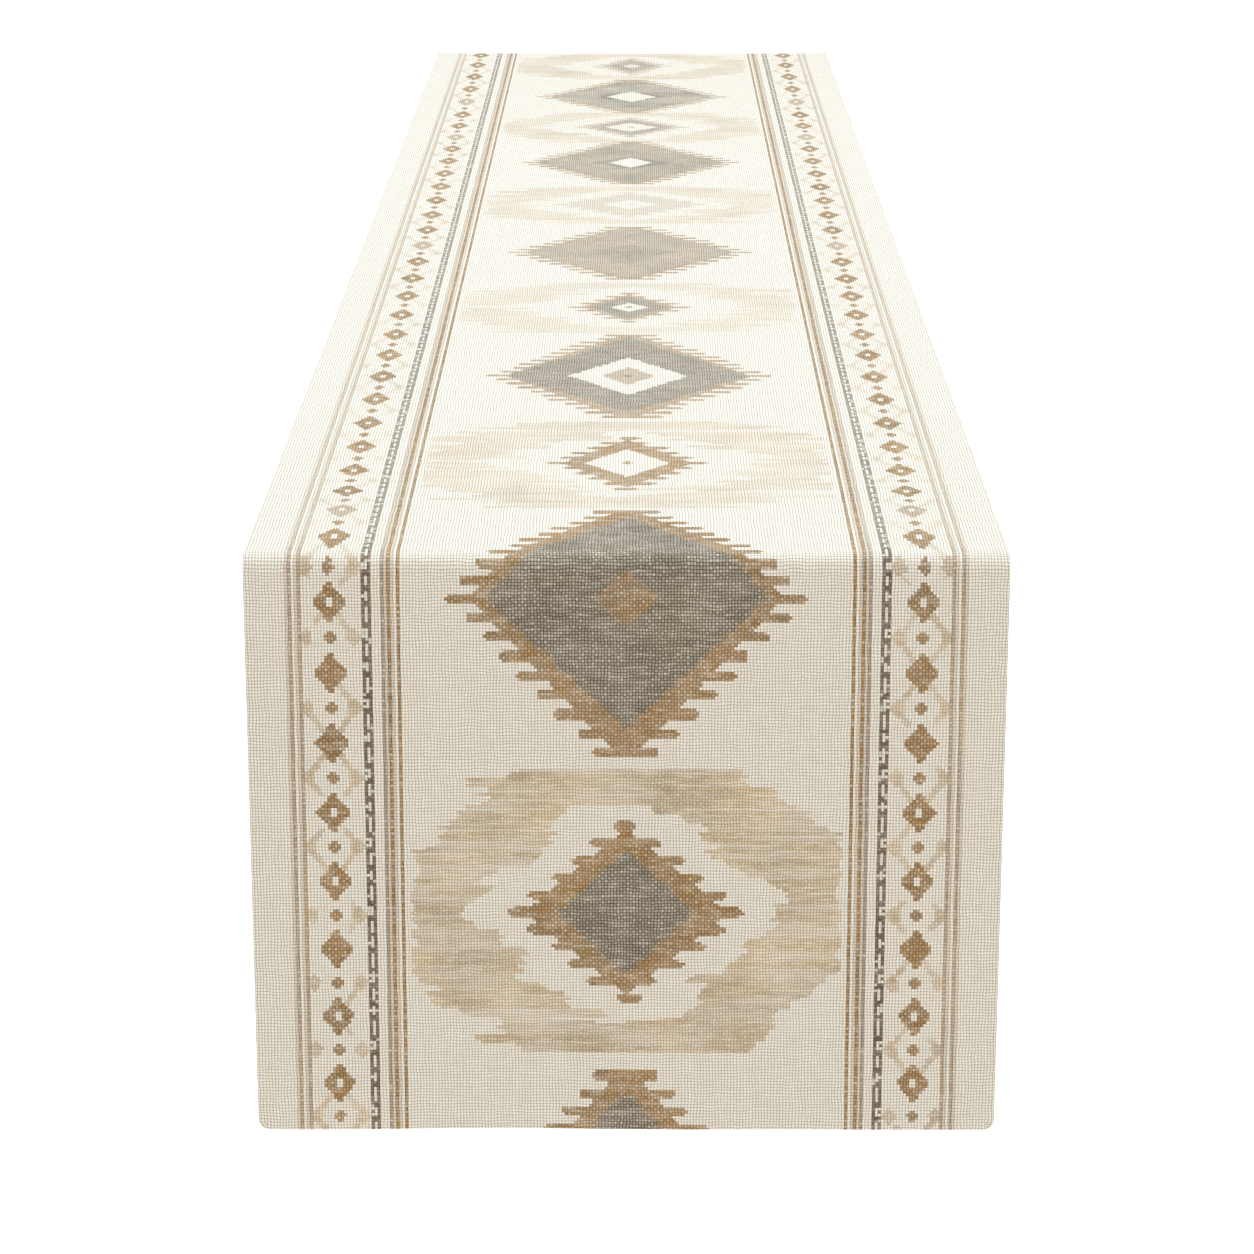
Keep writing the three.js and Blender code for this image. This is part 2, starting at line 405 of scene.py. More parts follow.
class Layer:
    """A closed, flat layer of cloth with rounded edges, with an optional hem at its start.

    Across is measured from the left edge and along from the start. columns and rows are where its fine upper
    grid has lines, and under_columns and under_rows index a coarser grid for its underside, whose height above
    the table is under(inset). inset is the distance from the nearest edge that has a rim.
    """

    RIM_STEPS = 6

    def __init__(self, width, length, thickness, corner, pitch, rows, hem, upper, under, under_marks,
                 base=0.0):
        self.width, self.length, self.thickness, self.corner = width, length, thickness, corner
        self.hem, self.upper, self.under, self.base = hem, upper, under, base
        self.rim = thickness / 2
        self.columns = max(2, round(width / pitch))
        self.rows = rows
        self.x = np.linspace(0, width, self.columns + 1)
        self.x[[0, -1]] = self.rim, width - self.rim
        self.y = np.linspace(0, length, rows + 1)
        if hem:
            self.y[0] = self.rim
        self.vertices, self.uvs, self.faces, self.cells = [], [], [], []
        self.under_marks = under_marks
        self.where = {}  # the row and column of each point of the rim
        self.build()

    def place(self, x, y, z, u=None, v=None):
        """Adds points in the flat, with the corners of a hem rounded off, and returns their numbers."""
        x, y, z = (np.asarray(a, float) for a in np.broadcast_arrays(x, y, z))
        u = x if u is None else u
        v = y if v is None else v
        u, v = np.broadcast_to(u, x.shape), np.broadcast_to(v, x.shape)
        near, side = self.corner - y, self.corner - np.minimum(x, self.width - x)
        rounding = self.hem & (near > 0) & (side > 0)
        far = np.hypot(near, side)
        ratio = np.where(rounding, np.maximum(near, side) / np.where(far > 0, far, 1), 1)
        left, right = self.corner - side * ratio, self.width - self.corner + side * ratio
        new_side = np.where(x < self.width / 2, left, right)
        new_x = np.where(rounding, new_side, x)
        new_y = np.where(rounding, self.corner - near * ratio, y)
        first = sum(len(part) for part in self.vertices)
        self.vertices.append(np.stack([new_x, new_y, z], -1).reshape(-1, 3))
        self.uvs.append(np.stack([u, v], -1).reshape(-1, 2))
        return first + np.arange(x.size).reshape(x.shape)

    def chain(self, grid):
        """The numbers along the edges that have a rim, as one run round a hem or two separate runs."""
        left, right = list(grid[::-1, 0]), list(grid[:, -1])
        if self.hem:
            return [left + list(grid[0, 1:-1]) + right]
        return [left, right]

    def quads(self, grid):
        a, b, c, d = grid[:-1, :-1], grid[:-1, 1:], grid[1:, 1:], grid[1:, :-1]
        return np.stack([a, b, c, d], -1).reshape(-1, 4)

    def build(self):
        grid_y, grid_x = np.meshgrid(self.y, self.x, indexing="ij")
        inset = self.inset(grid_x, grid_y)
        top = self.place(grid_x, grid_y, self.base + self.upper(inset))
        self.faces += self.quads(top).tolist()
        row, column = np.mgrid[0:self.rows, 0:self.columns]
        self.cells += np.stack([row, column], -1).reshape(-1, 2).tolist()

        ring = top
        for step in range(1, self.RIM_STEPS + 1):
            angle = math.pi * step / self.RIM_STEPS
            edge = self.rim * (1 - math.sin(angle))
            height = self.base + self.rim * (1 + math.cos(angle))
            arc = self.rim * angle
            lower = self.ring(edge, height, arc, ring)
            for a, b in zip(self.chain(ring), self.chain(lower)):
                for i in range(len(a) - 1):
                    self.faces.append([a[i + 1], a[i], b[i], b[i + 1]])
                    self.cells.append(self.cell_of(a[i], a[i + 1]))
            self.rings = getattr(self, "rings", [top]) + [lower]
            ring = lower
        self.add_underside(ring)

    def inset(self, x, y):
        side = np.minimum(x, self.width - x)
        return np.minimum(side, y) if self.hem else side

    def ring(self, edge, height, arc, like):
        """A ring of the rim: a grid that holds only the numbers on its edges."""
        grid = np.full(like.shape, -1)
        v = self.y - (arc if self.hem else 0) * (np.arange(self.rows + 1) == 0)
        y = self.y.copy()
        if self.hem:
            y[0] = edge
        grid[:, 0] = self.place(np.full(self.rows + 1, edge), y, height, self.rim - arc, v)
        far = self.width - edge
        grid[:, -1] = self.place(np.full(self.rows + 1, far), y, height, self.width - self.rim + arc, v)
        if self.hem:
            grid[0, 1:-1] = self.place(self.x[1:-1], edge, height, self.x[1:-1], self.rim - arc)
        for i, j in np.argwhere(grid >= 0):
            self.where[int(grid[i, j])] = (int(i), int(j))
        return grid

    def cell_of(self, a, b):
        """The woven cell beside an edge of the upper grid or of a ring below it."""
        columns = self.columns + 1
        places = [self.where[n] if n in self.where else divmod(int(n), columns) for n in (a, b)]
        (i, j), (k, l) = places
        return [min(i, k, self.rows - 1), min(j, l, self.columns - 1)]

    def add_underside(self, ring):
        marks, columns = self.under_marks
        rows = list(range(0, self.rows, 2)) + [self.rows]
        x = np.array([self.x[c] if offset is None else offset for c, offset in columns])
        y = self.y[rows].copy()
        if self.hem:
            extra = [m for m in marks]
            head = [offset for _, offset in extra]
            keep = [r for r in rows if self.y[r] > max(head) + 1e-6]
            rows = [index for index, _ in extra] + keep
            y = np.array(head + list(self.y[keep]))
        grid_y, grid_x = np.meshgrid(y, x, indexing="ij")
        heights = self.base + self.under(self.inset(grid_x, grid_y))
        under = self.place(grid_x, grid_y, heights)
        self.faces += self.quads(under)[:, ::-1].tolist()
        count = (len(rows) - 1) * (len(x) - 1)
        self.cells += [[-1, -1]] * count
        indices = [c for c, _ in columns]
        self.join(ring, under, rows, indices)
        self.cap(under, self.rows, -1)
        if not self.hem:
            self.cap(under, 0, 0)

    def join(self, ring, under, rows, columns):
        """Joins the rim's last ring to the coarser underside."""
        def strip(fine, coarse):
            self.faces.append([int(n) for n in fine] + [int(n) for n in coarse[::-1]])
            self.cells.append([-1, -1])

        for k in range(len(rows) - 1):
            a, b = rows[k], rows[k + 1]
            strip(ring[a:b + 1, 0], under[k:k + 2, 0])
            strip(ring[a:b + 1, -1][::-1], under[k:k + 2, -1][::-1])
        if self.hem:
            for k in range(len(columns) - 1):
                a, b = columns[k], columns[k + 1]
                strip(ring[0, a:b + 1][::-1], under[0, k:k + 2][::-1])

    def cap(self, under, row, under_row):
        """Closes a cut end with one flat face."""
        right = [int(r[row, -1]) for r in self.rings[1:]]
        left = [int(r[row, 0]) for r in self.rings[1:]]
        loop = [int(n) for n in self.rings[0][row, :]] + right
        loop += [int(n) for n in under[under_row, ::-1]] + left[::-1]
        self.faces.append(loop if row == 0 else loop[::-1])
        self.cells.append([-1, -1])


def flat_mesh(name, layer, left, start, facing, settings, yarns=None):
    """A mesh of a layer, laid with its left edge at left and its start at start, running towards +Y or -Y."""
    points = np.concatenate(layer.vertices)
    uv = np.concatenate(layer.uvs)
    across = points[:, 0] + left
    along = start + facing * points[:, 1]
    height = points[:, 2] + wave(across, along, settings)
    mesh = bpy.data.meshes.new(name)
    faces = layer.faces if facing > 0 else [face[::-1] for face in layer.faces]
    mesh.from_pydata(np.stack([across, along, height], -1), [], faces)
    loops = np.zeros(len(mesh.loops), int)
    mesh.loops.foreach_get("vertex_index", loops)
    flat = np.stack([uv[:, 0] + left, start + facing * uv[:, 1]], -1)
    mesh.uv_layers.new(name="cloth").data.foreach_set("uv", flat[loops].astype(np.float32).ravel())
    if yarns is not None:
        sizes = np.array([len(face) for face in layer.faces])
        cells = np.array(layer.cells)
        colours = np.where(cells[:, :1] < 0, 0, yarns[cells[:, 0], cells[:, 1]])
        attribute = mesh.color_attributes.new(name="yarns", type="FLOAT_COLOR", domain="CORNER")
        attribute.data.foreach_set("color", np.repeat(colours, sizes, axis=0).astype(np.float32).ravel())
    mesh.polygons.foreach_set("use_smooth", np.ones(len(mesh.polygons), bool))
    mesh.set_sharp_from_angle(angle=math.radians(50))
    mesh.update()
    return mesh


# ---- Draping: a Geometry Nodes tree that lays a flat piece over the table's edges ----

def drape_tree(make_stitches=False):
    """Bends what is flat at z = 0 over both edges of the table. With stitches, it first sews them along a path."""
    name = "Sew and drape" if make_stitches else "Drape over table"
    if name in bpy.data.node_groups:
        return bpy.data.node_groups[name]
    tree = bpy.data.node_groups.new(name, "GeometryNodeTree")
    face = tree.interface
    face.new_socket("Geometry", in_out="INPUT", socket_type="NodeSocketGeometry")
    sizes = ["Table Length", "Bend Radius", "Neutral Radius", "Bend Angle"]
    sizes += ["Stitch Pitch", "Thread Radius"] if make_stitches else []
    for label in sizes:
        face.new_socket(label, in_out="INPUT", socket_type="NodeSocketFloat")
    face.new_socket("Material", in_out="INPUT", socket_type="NodeSocketMaterial")
    face.new_socket("Geometry", in_out="OUTPUT", socket_type="NodeSocketGeometry")
    given = tree.nodes.new("NodeGroupInput").outputs
    geometry = given["Geometry"]
    if make_stitches:
        geometry = sewn(tree, given)

    def math_of(operation, *terms):
        links = {i: t for i, t in enumerate(terms) if isinstance(t, bpy.types.NodeSocket)}
        values = {i: t for i, t in enumerate(terms) if not isinstance(t, bpy.types.NodeSocket)}
        return add_node(tree, "ShaderNodeMath", links, values, operation=operation).outputs[0]

    place = add_node(tree, "GeometryNodeInputPosition")
    x, y, z = add_node(tree, "ShaderNodeSeparateXYZ", {0: place.outputs[0]}).outputs
    half = math_of("MULTIPLY", given["Table Length"], 0.5)
    away = math_of("ABSOLUTE", y)
    past = math_of("SUBTRACT", away, half)
    turned = math_of("MAXIMUM", math_of("DIVIDE", past, given["Neutral Radius"]), 0.0)
    angle = math_of("MINIMUM", turned, given["Bend Angle"])
    bend = math_of("MULTIPLY", given["Neutral Radius"], given["Bend Angle"])
    hanging = math_of("MAXIMUM", math_of("SUBTRACT", past, bend), 0.0)
    radius = math_of("ADD", given["Bend Radius"], z)
    on_table = math_of("MINIMUM", away, half)
    round_edge = math_of("MULTIPLY", radius, math_of("SINE", angle))
    lean = math_of("MULTIPLY", hanging, math_of("COSINE", given["Bend Angle"]))
    outward = math_of("ADD", math_of("ADD", on_table, round_edge), lean)
    new_y = math_of("MULTIPLY", outward, math_of("SIGN", y))
    over = math_of("MULTIPLY", radius, math_of("COSINE", angle))
    down = math_of("MULTIPLY", hanging, math_of("SINE", given["Bend Angle"]))
    new_z = math_of("SUBTRACT", math_of("SUBTRACT", over, given["Bend Radius"]), down)
    draped = add_node(tree, "ShaderNodeCombineXYZ", {0: x, 1: new_y, 2: new_z})
    moved = add_node(tree, "GeometryNodeSetPosition", {"Geometry": geometry, "Position": draped.outputs[0]})
    real = add_node(tree, "GeometryNodeRealizeInstances", {0: moved.outputs[0]})
    painted = add_node(tree, "GeometryNodeSetMaterial",
                       {"Geometry": real.outputs[0], "Material": given["Material"]})
    add_node(tree, "NodeGroupOutput", {0: painted.outputs[0]})
    return tree


def sewn(tree, given):
    """Slip stitches along each path: short arched runs of thread, one every stitch pitch, lying a little askew."""
    path = add_node(tree, "GeometryNodeMeshToCurve", {"Mesh": given["Geometry"]})
    points = add_node(tree, "GeometryNodeCurveToPoints",
                      {"Curve": path.outputs[0], "Length": given["Stitch Pitch"]}, mode="LENGTH")
    length = add_node(tree, "ShaderNodeMath", {0: given["Stitch Pitch"]}, {1: 0.62}, operation="MULTIPLY")
    end = add_node(tree, "ShaderNodeMath", {0: length.outputs[0]}, {1: 0.5}, operation="MULTIPLY")
    start = add_node(tree, "ShaderNodeMath", {0: end.outputs[0]}, {1: -1.0}, operation="MULTIPLY")
    low = add_node(tree, "ShaderNodeCombineXYZ", {0: start.outputs[0]}, {2: 0.0006})
    high = add_node(tree, "ShaderNodeCombineXYZ", {0: end.outputs[0]}, {2: 0.0006})
    crown = add_node(tree, "ShaderNodeCombineXYZ", values={2: -0.0001})
    arc = add_node(tree, "GeometryNodeCurveQuadraticBezier",
                   {"Start": low.outputs[0], "Middle": crown.outputs[0], "End": high.outputs[0]},
                   {"Resolution": 6})
    section = add_node(tree, "GeometryNodeCurvePrimitiveCircle",
                       {"Radius": given["Thread Radius"]}, {"Resolution": 6}, mode="RADIUS")
    thread = add_node(tree, "GeometryNodeCurveToMesh",
                      {"Curve": arc.outputs[0], "Profile Curve": section.outputs[0]}, {"Fill Caps": True})
    askew = add_node(tree, "FunctionNodeRandomValue", values={"Seed": 5}, data_type="FLOAT_VECTOR")
    askew.inputs["Min"].default_value = (0, 0, 0.20)
    askew.inputs["Max"].default_value = (0, 0, 0.36)
    turn = add_node(tree, "FunctionNodeAlignRotationToVector", {"Vector": points.outputs["Tangent"]}, axis="X")
    tilt = add_node(tree, "FunctionNodeRotateRotation",
                    {"Rotation": turn.outputs[0]}, {}, rotation_space="LOCAL")
    as_rotation = add_node(tree, "FunctionNodeEulerToRotation", {0: askew.outputs[0]})
    tree.links.new(as_rotation.outputs[0], tilt.inputs[1])
    sewn_on = add_node(tree, "GeometryNodeInstanceOnPoints",
                       {"Points": points.outputs[0], "Instance": thread.outputs[0], "Rotation": tilt.outputs[0]})
    real = add_node(tree, "GeometryNodeRealizeInstances", {0: sewn_on.outputs[0]})
    return real.outputs[0]


def drape(mesh, name, material, sizes=None):
    """Runs the draping tree on a flat mesh and returns a plain object with the result."""
    draft = bpy.data.objects.new(name + "_flat", mesh)
    bpy.context.scene.collection.objects.link(draft)
    modifier = draft.modifiers.new("Drape", "NODES")
    modifier.node_group = drape_tree(make_stitches=sizes is not None)
    given = {
        "Table Length": Cut.table_length,
        "Bend Radius": Cut.bend_radius,
        "Neutral Radius": Cut.neutral_radius,
        "Bend Angle": Cut.bend_angle,
        "Material": material,
        **(sizes or {}),
    }
    for item in modifier.node_group.interface.items_tree:
        if item.in_out == "INPUT" and item.name in given:
            modifier[item.identifier] = given[item.name]
    graph = bpy.context.evaluated_depsgraph_get()
    done = bpy.data.meshes.new_from_object(
        draft.evaluated_get(graph), preserve_all_data_layers=True, depsgraph=graph
    )
    draft.modifiers.remove(modifier)
    bpy.data.objects.remove(draft)
    done.name = name
    piece = bpy.data.objects.new(name, done)
    bpy.context.scene.collection.objects.link(piece)
    return piece


# ---- Materials ----

def plain_weave(tree, place, pitch, roundness=0.62):
    """A plain weave's relief.

    Gives its height from 0 in the holes to 1 on the threads, where the warp is on top, and the place counted
    in threads.
    """
    threads = add_node(tree, "ShaderNodeVectorMath", {0: place},
                       {1: (1 / pitch[0], 1 / pitch[1], 0)}, operation="MULTIPLY").outputs[0]
    wobble = add_node(tree, "ShaderNodeTexNoise", {"Vector": threads},
                      {"Scale": 0.11, "Detail": 2.0, "Roughness": 0.6}, noise_dimensions="2D")
    shift = add_node(tree, "ShaderNodeVectorMath", {0: wobble.outputs["Color"]},
                     {1: (1.1, 1.1, 0), 2: (-0.55, -0.55, 0)}, operation="MULTIPLY_ADD")
    uneven = add_node(tree, "ShaderNodeVectorMath", {0: threads, 1: shift.outputs[0]}, operation="ADD")
    phase = add_node(tree, "ShaderNodeVectorMath", {0: uneven.outputs[0]},
                     {1: (math.pi, math.pi, 0)}, operation="MULTIPLY")
    waves = add_node(tree, "ShaderNodeVectorMath", {0: phase.outputs[0]}, operation="SINE")
    ways = add_node(tree, "ShaderNodeSeparateXYZ", {0: waves.outputs[0]})
    over = add_node(tree, "ShaderNodeMath", {0: ways.outputs[0], 1: ways.outputs[1]}, operation="MULTIPLY")
    heights = []
    for way, sign in ((0, 0.3), (1, -0.3)):
        size = add_node(tree, "ShaderNodeMath", {0: ways.outputs[way]}, operation="ABSOLUTE")
        crown = add_node(tree, "ShaderNodeMath", {0: size.outputs[0]}, {1: roundness}, operation="POWER")
        lift = add_node(tree, "ShaderNodeMath", {0: over.outputs[0]}, {1: sign, 2: 0.7}, operation="MULTIPLY_ADD")
        height = add_node(tree, "ShaderNodeMath", {0: crown.outputs[0], 1: lift.outputs[0]}, operation="MULTIPLY")
        heights.append(height.outputs[0])
    top = add_node(tree, "ShaderNodeMath", {0: heights[0], 1: heights[1]}, operation="MULTIPLY")
    even = add_node(tree, "ShaderNodeMath", {0: top.outputs[0]}, {1: 2.1}, operation="MULTIPLY", use_clamp=True)
    warp_up = add_node(tree, "ShaderNodeMapRange", {0: over.outputs[0]}, {1: -0.15, 2: 0.15})
    return even.outputs[0], warp_up.outputs[0], uneven.outputs[0]


def thread_streaks(tree, threads):
    """Uneven yarn, from 0 to 1: each weft and each warp thread has its own run of thick and thin places."""
    whole = add_node(tree, "ShaderNodeVectorMath", {0: threads}, operation="FLOOR")
    runs = []
    for along, across in (((0.13, 0, 0), (0, 7.31, 0)), ((0, 0.13, 0), (5.77, 0, 0))):
        steps = add_node(tree, "ShaderNodeVectorMath", {0: whole.outputs[0]}, {1: across}, operation="MULTIPLY")
        place = add_node(tree, "ShaderNodeVectorMath", {0: threads, 2: steps.outputs[0]}, {1: along},
                         operation="MULTIPLY_ADD")
        noise = add_node(tree, "ShaderNodeTexNoise", {"Vector": place.outputs[0]},
                         {"Scale": 1.0, "Detail": 2.0, "Roughness": 0.7}, noise_dimensions="2D")
        wide = add_node(tree, "ShaderNodeMapRange", {0: noise.outputs["Fac"]}, {1: 0.28, 2: 0.72})
        runs.append(wide.outputs[0])
    return runs


def blank_material(name):
    material = bpy.data.materials.new(name)
    material.use_nodes = True
    material.node_tree.nodes.clear()
    return material, material.node_tree


def face_cloth_material(pitch, colours):
    """Slubby cotton canvas in plain weave, with the pattern brocaded into it in dyed weft yarns.

    It gives the eye a grid of fine holes between round threads, painted dark as shade, cream warp specks in the dyed
    parts, streaks along the weft where the hand-dyed yarn changes shade, and no shine.
    """
    material, tree = blank_material("brocaded_cotton_canvas")
    place = add_node(tree, "ShaderNodeUVMap", uv_map="cloth").outputs[0]
    height, warp_up, threads = plain_weave(tree, place, pitch)
    weft, warp = thread_streaks(tree, threads)
    blot = add_node(tree, "ShaderNodeTexNoise", {"Vector": place},
                    {"Scale": 26.0, "Detail": 3.0, "Roughness": 0.55}, noise_dimensions="2D")
    uneven = add_node(tree, "ShaderNodeMix", {"Factor": warp_up, 2: weft, 3: warp}, data_type="FLOAT").outputs[0]
    ground = add_node(tree, "ShaderNodeMix", {"Factor": uneven}, {"A": colours.ground, "B": colours.ground_shade},
                      data_type="RGBA")
    yarns = add_node(tree, "ShaderNodeAttribute", attribute_name="yarns", attribute_type="GEOMETRY")
    shares = add_node(tree, "ShaderNodeSeparateColor", {0: yarns.outputs["Color"]})

    # Less dye shows in the thin places of a weft yarn, and where a thick cream warp passes over it.
    thin = add_node(tree, "ShaderNodeMapRange", {0: weft}, {1: 0.5, 2: 1.0, 3: 1.0, 4: 0.7})
    thick = add_node(tree, "ShaderNodeMapRange", {0: warp}, {1: 0.5, 2: 0.9, 3: 0.10, 4: 0.42})
    bare = add_node(tree, "ShaderNodeMath", {0: thick.outputs[0], 1: warp_up}, operation="MULTIPLY")
    left = add_node(tree, "ShaderNodeMath", {1: bare.outputs[0]}, {0: 1.0}, operation="SUBTRACT")
    shows = add_node(tree, "ShaderNodeMath", {0: left.outputs[0], 1: thin.outputs[0]}, operation="MULTIPLY")
    solid = add_node(tree, "ShaderNodeMapRange", {0: shows.outputs[0]}, {3: 0.55, 4: 1.0})
    dye = add_node(tree, "ShaderNodeMapRange", {0: weft}, {3: 0.84, 4: 1.14})
    tone = add_node(tree, "ShaderNodeMath", {0: dye.outputs[0], 1: variation(tree, blot.outputs["Fac"], 0.14)},
                    operation="MULTIPLY")
    colour = ground.outputs["Result"]
    for yarn, amount, share in (
        (colours.tan, shares.outputs[2], shows),
        (colours.gold, shares.outputs[0], shows),
        (colours.grey, shares.outputs[1], shows),
        (colours.dark, yarns.outputs["Alpha"], solid),
    ):
        cover = add_node(tree, "ShaderNodeMath", {0: amount, 1: share.outputs[0]}, operation="MULTIPLY")
        shade = add_node(tree, "ShaderNodeHueSaturation", {"Value": tone.outputs[0]}, {"Color": tuple(yarn)})
        mix = add_node(tree, "ShaderNodeMix", {"Factor": cover.outputs[0], "A": colour,
                                               "B": shade.outputs[0]}, data_type="RGBA")
        colour = mix.outputs["Result"]

    # The holes between the threads are painted darker and browner in the base colour, as shade: little light comes
    # back out of them, and it has turned brown by then. The slate yarn is coarser than the ochre, and its holes are
    # deeper, so the painted shade is darker there.
    hole_shade_factor = add_node(tree, "ShaderNodeMapRange", {0: height}, {1: 0.05, 2: 0.75})
    coarse = add_node(tree, "ShaderNodeMath", {0: shares.outputs[0], 2: shares.outputs[1]}, {1: 0.3},
                      operation="MULTIPLY_ADD")
    hole_shade_colour = add_node(tree, "ShaderNodeMix", {"Factor": coarse.outputs[0]},
                    {"A": (0.46, 0.42, 0.36, 1), "B": (0.05, 0.04, 0.03, 1)}, data_type="RGBA")
    painted_hole_shade = add_node(tree, "ShaderNodeMix", {"Factor": hole_shade_factor.outputs[0], "A": hole_shade_colour.outputs["Result"]},
                    {"B": (1, 1, 1, 1)}, data_type="RGBA")
    # The painted hole shade is multiplied into the yarn colours.
    shaded = add_node(tree, "ShaderNodeMix", {"A": colour, "B": painted_hole_shade.outputs["Result"]}, {"Factor": 1.0},
                      data_type="RGBA", blend_type="MULTIPLY")
    relief = add_node(tree, "ShaderNodeMath", {0: uneven, 2: height}, {1: 0.25}, operation="MULTIPLY_ADD")
    bump = add_node(tree, "ShaderNodeBump", {"Height": relief.outputs[0]}, {"Strength": 1.0, "Distance": 0.2 * MM})
    shader = add_node(tree, "ShaderNodeBsdfPrincipled",
                      {"Base Color": shaded.outputs["Result"], "Normal": bump.outputs[0]},
                      {"Roughness": 0.88, "IOR": 1.46, "Specular IOR Level": 0.25,
                       "Sheen Weight": 0.12, "Sheen Roughness": 0.5})
    add_node(tree, "ShaderNodeOutputMaterial", {0: shader.outputs[0]})
    return material


def variation(tree, noise, spread):
    """Uneven dye or bleaching: a brightness a little above or below 1."""
    return add_node(tree, "ShaderNodeMapRange", {"Value": noise},
                    {1: 0.3, 2: 0.7, 3: 1 - spread, 4: 1 + spread}).outputs[0]


def lining_material(colours):
    """Calico, a light plain-woven cotton with its seed flecks left in.

    It gives the eye a finer and flatter weave than the face cloth, with a few brown specks.
    """
    material, tree = blank_material("calico")
    place = add_node(tree, "ShaderNodeUVMap", uv_map="cloth").outputs[0]
    # Calico has a thread every 0.5 mm, which is too fine to show, so it is drawn at 1.1 mm.
    height, _, _ = plain_weave(tree, place, (1.1 * MM, 1.1 * MM))
    blot = add_node(tree, "ShaderNodeTexNoise", {"Vector": place},
                    {"Scale": 30.0, "Detail": 4.0}, noise_dimensions="2D")
    slant = add_node(tree, "ShaderNodeMapping", {"Vector": place}, {"Rotation": (0, 0, 0.6), "Scale": (1, 2.2, 1)})
    seed = add_node(tree, "ShaderNodeTexVoronoi", {"Vector": slant.outputs[0]}, {"Scale": 42.0},
                    voronoi_dimensions="2D")
    fleck = add_node(tree, "ShaderNodeMapRange", {"Value": seed.outputs["Distance"]}, {1: 0.012, 2: 0.035, 3: 0, 4: 1})
    tint = add_node(tree, "ShaderNodeMix", {"Factor": fleck.outputs[0]},
                    {"A": (0.66, 0.56, 0.42, 1), "B": (1, 1, 1, 1)}, data_type="RGBA")
    tone = add_node(tree, "ShaderNodeHueSaturation", {"Value": variation(tree, blot.outputs["Fac"], 0.035)},
                    {"Color": tuple(colours.lining)})
    # The holes between the threads are painted darker in the base colour, as shade.
    hole_shade_factor = add_node(tree, "ShaderNodeMapRange", {"Value": height}, {1: 0.05, 2: 0.6, 3: 0.68, 4: 1.0})
    flecked = add_node(tree, "ShaderNodeMix", {"A": tone.outputs[0], "B": tint.outputs["Result"]}, {"Factor": 1.0},
                       data_type="RGBA", blend_type="MULTIPLY")
    colour = add_node(tree, "ShaderNodeMix", {"A": flecked.outputs["Result"], "B": hole_shade_factor.outputs[0]}, {"Factor": 1.0},
                      data_type="RGBA", blend_type="MULTIPLY")
    bump = add_node(tree, "ShaderNodeBump", {"Height": height}, {"Strength": 0.6, "Distance": 0.15 * MM})
    shader = add_node(tree, "ShaderNodeBsdfPrincipled",
                      {"Base Color": colour.outputs["Result"], "Normal": bump.outputs[0]},
                      {"Roughness": 0.9, "IOR": 1.46, "Specular IOR Level": 0.2, "Sheen Weight": 0.08})
    add_node(tree, "ShaderNodeOutputMaterial", {0: shader.outputs[0]})
    return material


def thread_material(colours):
    """Two-ply cotton sewing thread: a slight sheen, and slanted bands of its twist, raised by bump and painted darker
    in the grooves as shade.
    """
    material, tree = blank_material("cotton_sewing_thread")
    place = add_node(tree, "ShaderNodeTexCoord").outputs["Object"]
    turned = add_node(tree, "ShaderNodeMapping", {"Vector": place}, {"Rotation": (0.3, 0.2, 0.75)})
    # The real twist comes every 0.4 mm and is drawn every 0.9 mm, so that it can show.
    ply = add_node(tree, "ShaderNodeTexWave", {"Vector": turned.outputs[0]}, {"Scale": 350.0, "Distortion": 1.0})
    # The twist's bands are painted into the colour as shade, darker in the grooves between the plies.
    shade = add_node(tree, "ShaderNodeMapRange", {"Value": ply.outputs["Fac"]}, {3: 0.72, 4: 1.08})
    tone = add_node(tree, "ShaderNodeHueSaturation", {"Value": shade.outputs[0]}, {"Color": tuple(colours.thread)})
    bump = add_node(tree, "ShaderNodeBump", {"Height": ply.outputs["Fac"]}, {"Strength": 0.5, "Distance": 0.1 * MM})
    shader = add_node(tree, "ShaderNodeBsdfPrincipled",
                      {"Base Color": tone.outputs[0], "Normal": bump.outputs[0]},
                      {"Roughness": 0.6, "IOR": 1.5, "Sheen Weight": 0.3})
    add_node(tree, "ShaderNodeOutputMaterial", {0: shader.outputs[0]})
    return material


# ---- The lengths that the cloth is made in ----
# Each end, from its hem over the bend and onto the table, is one length, and the rest of the table's part
# is four more. They meet edge to edge, with no gap, where nothing bends.

SPANS = 4
END_ON_TABLE = 60 * MM  # how far an end length runs on past the bend


def lengths(pitch):
    """(name, first row, last row, hem) of each length of cloth, with rows counted from the near hem."""
    rows = 2 * round(Cut.length / pitch / 2)
    end = round((Cut.drop_length + Cut.bend_length + END_ON_TABLE) / pitch / 2) * 2
    cuts = [end + 2 * round((rows - 2 * end) * k / SPANS / 2) for k in range(SPANS)] + [rows - end]
    found = [("near_end", 0, end, -1)]
    found += [(f"span_{k + 1}", cuts[k], cuts[k + 1], 0) for k in range(SPANS)]
    return found + [("far_end", rows - end, rows, 1)]


def follow(piece, part, *stands_for):
    """Lets a piece ride on the table's part of the runner, or bakes an end piece's place into its mesh, and hides the
    nodes that it stands for.
    """
    if not stands_for:
        raise RuntimeError(f"{part} stands for no node of the model")
    side = {"near_end": -1, "far_end": 1}.get(part, 0)
    if side:
        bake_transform(piece)
    else:
        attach(piece, "top")
    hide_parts(*stands_for)


def nodes_of(part, *pieces):
    """The CAD nodes that a length of cloth stands for."""
    end = {"near_end": "near", "far_end": "far"}.get(part)
    places = [f"{end}_bend", f"{end}_drop"] if end else ["top"]
    names = [f"{piece}_{place}" for piece in pieces for place in places]
    return [name for name in names if name in frame["nodes"]]


